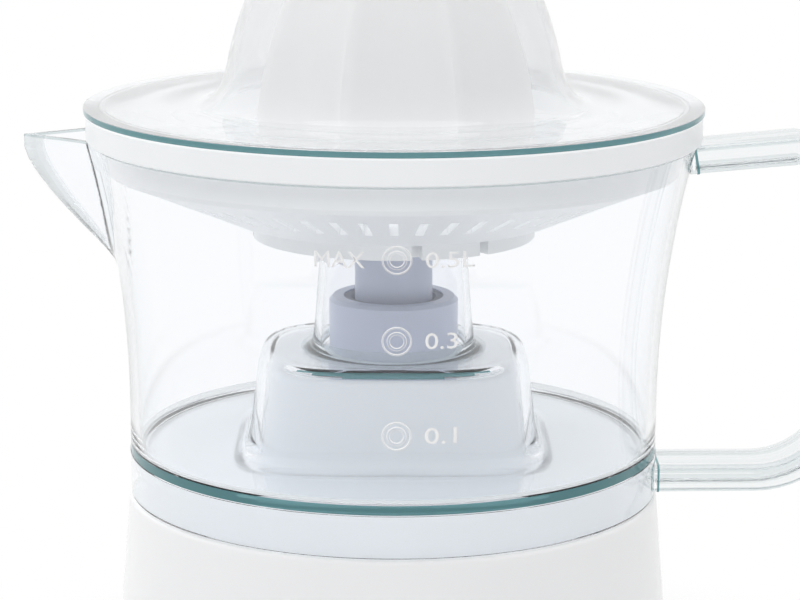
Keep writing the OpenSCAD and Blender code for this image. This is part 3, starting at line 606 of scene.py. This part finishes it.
def combined(obj, tools, how):
    """obj after each of the tools is joined to it (UNION) or cut from it (DIFFERENCE)."""
    for tool in tools:
        mod = obj.modifiers.new(how.lower(), "BOOLEAN")
        mod.operation, mod.solver, mod.object = how, "EXACT", tool
    dep = bpy.context.evaluated_depsgraph_get()
    mesh = bpy.data.meshes.new_from_object(obj.evaluated_get(dep))
    obj.modifiers.clear()
    old, name = obj.data, obj.data.name
    obj.data = mesh
    bpy.data.meshes.remove(old)
    mesh.name = name
    for tool in tools:
        data = tool.data
        bpy.data.objects.remove(tool)
        bpy.data.meshes.remove(data)


def finished(obj, finishes, body, replaces=(), angle=32):
    """Gives an object its finishes and smooth faces, and sets it on its body."""
    mesh = obj.data
    for name in finishes:
        mesh.materials.append(FINISH[name])
    mesh.shade_smooth()
    mesh.set_sharp_from_angle(angle=radians(angle))
    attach(obj, body)
    if replaces:
        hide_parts(*replaces)


def tint_faces(bm, index, test):
    """Gives the finish to the faces whose middle (r, z, angle) passes the test."""
    for f in bm.faces:
        c = f.calc_center_median()
        if test(hypot(c.x, c.y), c.z, atan2(c.y, c.x)):
            f.material_index = index


def on_ring(r, z):
    """Whether a place is on the tinted ring, where the floor meets the wall."""
    return r > JUG_R - 0.1 and -0.6 < z < 1.5


def on_lens(r, z, a):
    """Whether a place is on the tint of the block's long upper edges, thickest mid-side."""
    off = abs(degrees(abs(a)) - 90) / 45
    high = 1 - (off / 0.94) ** 2
    return off < 0.94 and 27.6 < r < 34 and BLOCK_H - 0.55 - high < z < BLOCK_H - 0.5


def on_keel(r, z, a):
    """Whether a place of the drawn wall is on the spout's keel."""
    return z < RIM_H - 0.7 and r > wall_r(z) + 1.5 and r * abs(sin(a)) < 1.8


def handle_parts():
    """The strap handle, and a tinted seam at each of its ends."""
    path = [(JUG_R - 0.9, GRIP_LOW), (JUG_R + 12, GRIP_LOW + 0.15)]
    path += arc(GRIP_X - 26, 14.2, 24.6 - GRIP_T / 2, -90, -4)
    path += arc(GRIP_X - 19.4, 56, 18 - GRIP_T / 2, 4, 82)
    path += [(wall_r(GRIP_TOP) - 1.0, GRIP_HIGH)]
    grip = strap(path, GRIP_W, GRIP_T)
    for f in grip.faces:
        # painted shade: the strap's rounded edges get the darker lines
        f.material_index = SHADE_LINE if 0.1 < abs(f.normal.y) < 0.97 else STRAP
    parts = [solid(grip, "handle")]
    for ends in (((JUG_R + 0.1, GRIP_LOW), (JUG_R + 0.6, GRIP_LOW)),
                 ((wall_r(GRIP_TOP) + 0.9, GRIP_HIGH + 0.1), (wall_r(GRIP_TOP) + 0.3, GRIP_HIGH))):
        seam = strap(ends, GRIP_W + 0.3, GRIP_T + 0.2)
        for f in seam.faces:
            f.material_index = EDGE
        parts.append(solid(seam, "seam"))
    return parts


class CITRUS_OT_jug(bpy.types.Operator):
    """Build the clear jug with its block, tube, spout and handle"""
    bl_idname = "citrus.jug"
    bl_label = "Jug"

    def execute(self, context):
        bm = turned(jug_outline(), FINE_TURN)
        # painted shade: a darker tint on the rim's top, where the strainer's band shades it, and
        # round the tube's foot
        tint_faces(bm, SHADE_LINE, lambda r, z, a: z > RIM_H - 0.7
                   or TUBE_R < r < 22 and BLOCK_H < z < 26)  # the rim and the tube's foot
        tint_faces(bm, EDGE, lambda r, z, a: on_ring(r, z) or on_lens(r, z, a))
        tint_faces(bm, KEEL, lambda r, z, a: 58.6 < r < 60.1 and 1.15 < z < 2.5)  # floor's corner
        square_off(bm)
        draw_spout(bm)
        tint_faces(bm, KEEL, on_keel)
        jug = solid(bm, "jug")
        tools = handle_parts()
        for obj in [jug] + tools:
            for name in JUG_FINISHES:
                obj.data.materials.append(FINISH[name])
        combined(jug, tools, "UNION")
        finished(jug, [], "jug", ["jug_body", "jug_handle"])
        return {"FINISHED"}


# ---------------------------------------------------------------- level marks

MARK_GAP = 0.06  # between a mark and the wall
MARK_X, WORDS_X = 0.7, 6.8  # the rings' middle, and where the words start
LETTER_EDGE = 0.06  # the letters' small bevel
LEVELS = ((56.7, "0.5L", 10.6), (38.5, "0.3", 7.0), (17.2, "0.1", 7.0))  # height, words, width
FACING_OUT = 0.995


def wrap(bm, rise):
    """Lays a flat bmesh (x along, y up, z out) on the jug's wall, its sides in their own finish, a
    painted white highlight.
    """
    bm.normal_update()
    for f in bm.faces:
        f.material_index = 1 if abs(f.normal.z) < FACING_OUT else 0
    for v in bm.verts:
        middle = wall_r(v.co.y) + rise / 2 + MARK_GAP
        r, a = middle + v.co.z, v.co.x / middle
        v.co = Vector((r * sin(a), -r * cos(a), v.co.y))
    bmesh.ops.recalc_face_normals(bm, faces=bm.faces)
    return bm


def raised_text(words, x0, x1, z0, z1, rise):
    """Raised letters fitted to a box and laid on the wall."""
    curve = bpy.data.curves.new("words", "FONT")
    curve.body, curve.extrude = words, 0.1
    curve.resolution_u, curve.bevel_depth, curve.bevel_resolution = 3, LETTER_EDGE, 0
    curve.offset = -LETTER_EDGE
    text = bpy.data.objects.new("words", curve)
    bpy.context.scene.collection.objects.link(text)
    dep = bpy.context.evaluated_depsgraph_get()
    mesh = bpy.data.meshes.new_from_object(text.evaluated_get(dep))
    bm = bmesh.new()
    bm.from_mesh(mesh)
    bpy.data.objects.remove(text)
    bpy.data.curves.remove(curve)
    bpy.data.meshes.remove(mesh)
    bmesh.ops.remove_doubles(bm, verts=bm.verts, dist=1e-5)
    low = [min(v.co[k] for v in bm.verts) for k in range(3)]
    high = [max(v.co[k] for v in bm.verts) for k in range(3)]
    for v in bm.verts:
        u = [(v.co[k] - low[k]) / (high[k] - low[k]) for k in range(3)]
        v.co = Vector((x0 + u[0] * (x1 - x0), z0 + u[1] * (z1 - z0), (u[2] - 0.5) * rise))
    return wrap(bm, rise)


def raised_ring(r0, r1, z, rise):
    """A raised ring between two radii, laid on the wall at height z."""
    e = 0.14  # its small bevel
    section = [(r0, 0), (r1, 0), (r1, rise - e), (r1 - e, rise), (r0 + e, rise), (r0, rise - e)]
    bm = turned(section, 48)
    for v in bm.verts:
        v.co = Vector((v.co.x + MARK_X, v.co.y + z, v.co.z - rise / 2))
    return wrap(bm, rise)


def merged(parts):
    """Several bmeshes as one."""
    out = bmesh.new()
    for bm in parts:
        mesh = bpy.data.meshes.new("part")
        bm.to_mesh(mesh)
        bm.free()
        out.from_mesh(mesh)
        bpy.data.meshes.remove(mesh)
    return out


class CITRUS_OT_marks(bpy.types.Operator):
    """Build the raised level marks on the jug's front"""
    bl_idname = "citrus.marks"
    bl_label = "Level marks"

    def execute(self, context):
        rise = sizes().mark_rise / MM
        parts = []
        for z, words, wide in LEVELS:
            for r0, r1 in ((2.85, 3.25), (1.45, 2.15)):
                parts.append(raised_ring(r0, r1, z, rise))
            parts.append(raised_text(words, WORDS_X, WORDS_X + wide, z - 1.8, z + 1.8, rise))
        parts.append(raised_text("MAX", -17.0, -6.2, 54.9, 58.5, rise))
        marks = solid(merged(parts), "level_marks")
        finished(marks, ["clear_marks", "mark_sides"], "jug")
        return {"FINISHED"}


# ---------------------------------------------------------------- cone and lid

PLATE_Z, FLANGE_Z = RIM_H - 18.7, RIM_H + 6.2  # the strainer's floor and the lid's flange
CONE_Z, CONE_TIP, CONE_R = PLATE_Z + 4.7, 130.0, 35.6
CONE_H = CONE_TIP - CONE_Z
COLLAR_IN, COLLAR_OUT = 24.6, 26.7  # the ring at the cone's foot, which sits in the collar
LID_R, LID_WALL, DOME_R, DOME_TOP = 71.7, 1.5, 39.8, 140.0
DOME_FLARE = 7.9  # how far the dome's inner foot curves out into the flange
HUB_R, HEX_R, WEB_Z, HEAD_Z = 12.2, 8.4, TUBE_H + 3.6, TUBE_H + 20
HEX = pi / 3


def rib_r(s):
    """Radius of the ribs' crests at a share s of the cone's height."""
    return CONE_R * (1 - s ** 2.4) ** 0.62


def cone_outline():
    """The cone's section: its ribs' line outside, a hollow round the hub inside."""
    steps = 40
    narrow = (1 - sizes().flute) * cos(pi / sizes().ribs)  # a flute's radius, as a share of a rib's
    outer, inner = [], []
    for i in range(steps + 1):
        s = 0.9985 * sin(pi / 2 * i / steps)
        outer.append((rib_r(s), CONE_Z + s * (CONE_TIP - CONE_Z)))
    for i in range(8, 2, -1):
        q = i * 0.09
        inner.append((min(COLLAR_IN, rib_r(q) * 0.9 * narrow - 1.6), CONE_Z + q * CONE_H))
    points = [(COLLAR_IN, PLATE_Z - 3.6, 0.3), (COLLAR_OUT, PLATE_Z - 3.6, 0.3),
              (COLLAR_OUT, CONE_Z, 0.2), (CONE_R - 0.3, CONE_Z, 0.2)]
    points += outer + [(0, CONE_TIP), (0, HEAD_Z + 0.5), (HEX_R * 0.5, HEAD_Z + 0.5),
                       (HEX_R, HEAD_Z + 0.5), (HEX_R, WEB_Z, 0.4), (HUB_R, WEB_Z, 0.6),
                       (HUB_R, CONE_Z + 0.72 * CONE_H)]
    return rounded(points + inner)


def flute_scale(a, ribs, flute, turn):
    """How far the cone's outside stands at angle a, as a share of the ribs' radius."""
    w = pi / ribs
    u = ((a + pi / 2 - turn) / (2 * w)) % 1.0
    q = abs(2 * (u if u < 0.5 else 1 - u))  # 0 in a flute's middle, 1 on a rib
    q = 1 - ((1 - q) ** 2 + 0.05 ** 2) ** 0.5 + 0.05 * (1 - q)  # the rib's crest is a little round
    return cos(w) / cos(w * q) * (1 - flute * (1 - q * q))


class CITRUS_OT_cone(bpy.types.Operator):
    """Build the ribbed reaming cone with its hub"""
    bl_idname = "citrus.cone"
    bl_label = "Cone"

    def execute(self, context):
        bm = turned(cone_outline())
        fluting = sizes().ribs, sizes().flute, sizes().cone_turn
        for v in bm.verts:
            r, z, a = hypot(v.co.x, v.co.y), v.co.z, atan2(v.co.y, v.co.x)
            if r < 1e-4:
                continue
            s = min(1.0, max(0.0, (z - CONE_Z) / CONE_H))
            outside = z >= CONE_Z - 1e-3 and r > 0.97 * rib_r(s) - 0.4 and r > 1.5
            socket = (abs(r - HEX_R) < 0.45 and z > WEB_Z - 1
                      or abs(r - HEX_R * 0.5) < 0.1 and z < CONE_TIP - 10)
            if outside or socket:
                k = flute_scale(a, *fluting) if outside else cos(HEX / 2) / cos(a % HEX - HEX / 2)
                v.co.x *= k
                v.co.y *= k
        cone = solid(bm, "cone_ribbed")
        finished(cone, ["cone_satin"], "cone", ["cone"], angle=40)
        return {"FINISHED"}


def dome_line(r0, h, steps=40):
    """The dome's line from above its foot to the top, as (r, z)."""
    shares = [sin(pi / 2 * i / steps) for i in range(5, steps + 1)]
    return [(r0 * max(0.0, 1 - s ** 1.6) ** 0.554, FLANGE_Z + LID_WALL + s * h) for s in shares]


def bend(a, b, c, n=8):
    """An even curve from a to c that leaves and arrives towards b."""
    a, b, c = Vector(a), Vector(b), Vector(c)
    return [tuple(a.lerp(b, i / n).lerp(b.lerp(c, i / n), i / n)) for i in range(n)]


class CITRUS_OT_lid(bpy.types.Operator):
    """Build the clear lid: a flat flange and a tall dome"""
    bl_idname = "citrus.lid"
    bl_label = "Lid"

    def execute(self, context):
        top, low = FLANGE_Z + LID_WALL, FLANGE_Z
        tall, foot = DOME_TOP - FLANGE_Z, DOME_R - LID_WALL
        outside = dome_line(DOME_R, tall - LID_WALL)
        inside = dome_line(foot, tall - 2 * LID_WALL)
        rib = wall_r(RIM_H) - 2.15  # the locating ring's outer radius, inside the jug's rim
        points = [(LID_R, low, 0.25), (LID_R, top, 0.35), (66, top), (58, top), (51, top)]
        points += bend((DOME_R + 6.4, top), (DOME_R + 0.1, top), outside[0])
        points += outside + inside[::-1]
        points += bend(inside[0], (foot + 0.1, low), (foot + DOME_FLARE, low))[1:]
        points += [(foot + DOME_FLARE, low), (58, low), (rib - 1.2, low, 0.3),
                   (rib - 1.2, low - 1.2, 0.4), (rib, low - 1.2, 0.4), (rib, low, 0.3)]
        bm = turned(rounded(points), FINE_TURN)
        tint_faces(bm, 1, lambda r, z, a: r > LID_R - 0.3 and z < top - 0.25)
        lid = solid(bm, "lid_clear")
        finished(lid, ["clear_lid", "clear_edge"], "lid", ["lid"])
        return {"FINISHED"}


# ---------------------------------------------------------------- base

BASE_WALL, DECK_WALL, SHOULDER = 2.2, 2, -11.1
NECK_R, GAP = JUG_R - WALL - 0.4, 2.6  # the deck's neck in the skirt, and the jug's gap round it
COVER_Z = 2 - FLOOR_Z
INLET_Z, INLET_R = 13 - FLOOR_Z, 5


def side_r(z):
    """Outer radius of the base at height z."""
    up = z + FLOOR_Z
    return JUG_R + 0.9 + (-17.5 - z) * 0.0847 + 1.4 * max(0.0, 1 - up / 30) ** 2


def shell_outline():
    """The housing's section: flared side, shoulder, and the step that holds the deck."""
    n = 20
    low, high = COVER_Z + 1.2, SHOULDER - 2.4
    sides = [low + (high - low) * i / n for i in range(n + 1)]
    points = [(side_r(COVER_Z) - BASE_WALL, COVER_Z, 0.3), (side_r(COVER_Z), COVER_Z, 1.1)]
    points += [(side_r(z), z) for z in sides]
    points += [(side_r(SHOULDER), SHOULDER, 1.8), (NECK_R + 0.6, SHOULDER),
               (NECK_R - 2.4, SHOULDER), (NECK_R - 2.4, SHOULDER - 2.2),
               (side_r(SHOULDER) - 4, SHOULDER - 2.2),
               (side_r(SHOULDER - 4) - BASE_WALL, SHOULDER - 4.4)]
    return rounded(points + [(side_r(z) - BASE_WALL, z) for z in reversed(sides[:-2])])


def deck_outline():
    """The deck's section: neck, floor and the block under the jug's own."""
    a, h, top = BLOCK_A - GAP, BLOCK_H - GAP, -1.28
    under, low = h - DECK_WALL, top - 2.2  # the undersides of the block's top and of the floor
    return rounded([
        (NECK_R, SHOULDER + 0.02), (NECK_R, top, 0.6), (55, top), (47, top), (42.2, top),
        (a + 0.5, top, 6), (a - 0.6, 9.5), (a - 1.2, 13), (a - 2.1, h, 2.2), (24, h), (21.5, h),
        (15.13, h, 0.2), (15.13, under), (21.5, under), (24, under), (a - 4.4, under, 0.8),
        (a - 2.8, 4), (a - 1.8, top - DECK_WALL, 0.5), (42.2, low), (47, low),
        (NECK_R - 2.2, low, 0.6), (NECK_R - 2.2, SHOULDER + 0.02)])


class CITRUS_OT_base(bpy.types.Operator):
    """Build the base's housing and the deck that carries the jug"""
    bl_idname = "citrus.base"
    bl_label = "Base"

    def execute(self, context):
        shell = solid(turned(shell_outline()), "base_shell")
        hole = bmesh.new()
        bmesh.ops.create_cone(hole, cap_ends=True, segments=48, radius1=INLET_R,
                              radius2=INLET_R, depth=20)
        tilt = atan2(side_r(INLET_Z - 4) - side_r(INLET_Z + 4), 8)
        bmesh.ops.rotate(hole, verts=hole.verts, cent=(0, 0, 0),
                         matrix=Matrix.Rotation(tilt - pi / 2, 3, "X"))
        bmesh.ops.translate(hole, verts=hole.verts, vec=(0, side_r(INLET_Z), INLET_Z))
        combined(shell, [solid(hole, "inlet_hole")], "DIFFERENCE")
        finished(shell, ["white_gloss"], "base", ["base_housing"])

        bm = turned(deck_outline())
        square_off(bm)
        finished(solid(bm, "base_deck"), ["deck_satin"], "base", ["base_top"])
        return {"FINISHED"}


# ---------------------------------------------------------------- stage

SENSOR = 36  # width in mm
AIM = Vector((0, 0, 0.12))  # where the lamps point, in metres
# each lamp's place and width in metres
LAMPS = {"key": ((-0.15, -0.85, 1.15), 0.9), "left": ((-1.1, 0.45, 0.65), 0.7),
         "right": ((1.1, 0.45, 0.65), 0.7), "back": ((-0.5, 1.2, 0.55), 1.0),
         "top": ((0.0, 0.25, 1.4), 1.1)}


def floor_finish():
    """A pale floor that keeps the object's shadow nearby and goes white further out."""
    f = Finish("pale_floor", (0.86, 0.86, 0.865), 0.6)
    out = f.add("VectorMath", f.place(), operation="LENGTH").outputs["Value"]
    far = f.add("MapRange", Value=out, From_Min=0.09, From_Max=0.19)
    far.interpolation_type = "SMOOTHSTEP"
    white = f.math("MULTIPLY", far.outputs[0], f.any_ray("Camera", "Glossy", "Transmission"))
    mix = f.add("MixShader", white, f.shader.outputs[0], f.add("Emission").outputs[0])
    f.feed(f.tree.nodes["Material Output"].inputs["Surface"], mix.outputs[0])
    return f.mat


def studio(level):
    """A world that is seen as white, and lights the object evenly at the level."""
    world = bpy.data.worlds.new("studio")
    world.use_nodes = True
    t = Nodes(world.node_tree)
    seen = t.any_ray("Camera", "Glossy", "Transmission")
    strength = t.add("MapRange", Value=seen, To_Min=level, To_Max=1.0).outputs[0]
    back = t.tree.nodes["Background"].inputs
    t.feed(back["Color"], (1, 1, 1, 1))
    t.feed(back["Strength"], strength)
    return world


class CITRUS_OT_stage(bpy.types.Operator):
    """Set up the floor, the studio light and the camera"""
    bl_idname = "citrus.stage"
    bl_label = "Stage"

    def execute(self, context):
        scene = context.scene
        p = scene.citrus_stage
        scene.view_settings.view_transform = "Standard"
        scene.world = studio(p.world_level)

        bm = bmesh.new()
        bmesh.ops.create_circle(bm, cap_ends=True, segments=96, radius=6)
        mesh = bpy.data.meshes.new("floor")
        bm.to_mesh(mesh)
        bm.free()
        mesh.materials.append(floor_finish())
        floor = bpy.data.objects.new("floor", mesh)
        scene.collection.objects.link(floor)

        for name, (where, size) in LAMPS.items():
            lamp = bpy.data.lights.new(name, "AREA")
            lamp.shape, lamp.size, lamp.energy = "DISK", size, getattr(p, name + "_power")
            obj = bpy.data.objects.new(name, lamp)
            scene.collection.objects.link(obj)
            obj.location = where
            obj.rotation_euler = (AIM - Vector(where)).to_track_quat("-Z", "Y").to_euler()
            obj.visible_glossy = name == "top"
            obj.visible_transmission = False

        cam = bpy.data.cameras.new("camera")
        cam.lens, cam.sensor_width, cam.shift_x = p.lens, SENSOR, p.shift
        cam.clip_start, cam.clip_end = 0.01, 50
        obj = bpy.data.objects.new("camera", cam)
        scene.collection.objects.link(obj)
        obj.location = (0, -p.camera_distance, FLOOR_Z * MM + p.camera_height)
        look = Matrix.Rotation(pi / 2 - p.pitch, 4, "X") @ Matrix.Rotation(p.roll, 4, "Z")
        obj.rotation_euler = look.to_euler()
        scene.camera = obj
        return {"FINISHED"}


# ---------------------------------------------------------------- panel

OPERATORS = (CITRUS_OT_finishes, CITRUS_OT_jug, CITRUS_OT_marks, CITRUS_OT_cone, CITRUS_OT_lid,
             CITRUS_OT_base, CITRUS_OT_stage)


class CITRUS_PT_panel(bpy.types.Panel):
    """Colours, sizes, the stage and one button for each step"""
    bl_idname = "CITRUS_PT_panel"
    bl_label = "Citrus press"
    bl_space_type = "VIEW_3D"
    bl_region_type = "UI"
    bl_category = "Citrus Press"

    def draw(self, context):
        scene = context.scene
        for group in (scene.citrus_colors, scene.citrus_sizes, scene.citrus_stage):
            for key in group.__annotations__:
                self.layout.prop(group, key)
        for op in OPERATORS:
            self.layout.operator(op.bl_idname)


CLASSES = (CITRUS_PG_colors, CITRUS_PG_sizes, CITRUS_PG_stage, *OPERATORS, CITRUS_PT_panel)


def register():
    for c in CLASSES:
        bpy.utils.register_class(c)
    bpy.types.Scene.citrus_colors = bpy.props.PointerProperty(type=CITRUS_PG_colors)
    bpy.types.Scene.citrus_sizes = bpy.props.PointerProperty(type=CITRUS_PG_sizes)
    bpy.types.Scene.citrus_stage = bpy.props.PointerProperty(type=CITRUS_PG_stage)


def unregister():
    del bpy.types.Scene.citrus_stage
    del bpy.types.Scene.citrus_sizes
    del bpy.types.Scene.citrus_colors
    for c in reversed(CLASSES):
        bpy.utils.unregister_class(c)


def main():
    register()
    for build in (bpy.ops.citrus.finishes, bpy.ops.citrus.jug, bpy.ops.citrus.marks,
                  bpy.ops.citrus.cone, bpy.ops.citrus.lid, bpy.ops.citrus.base,
                  bpy.ops.citrus.stage):
        build()


if __name__ == "__main__":
    main()
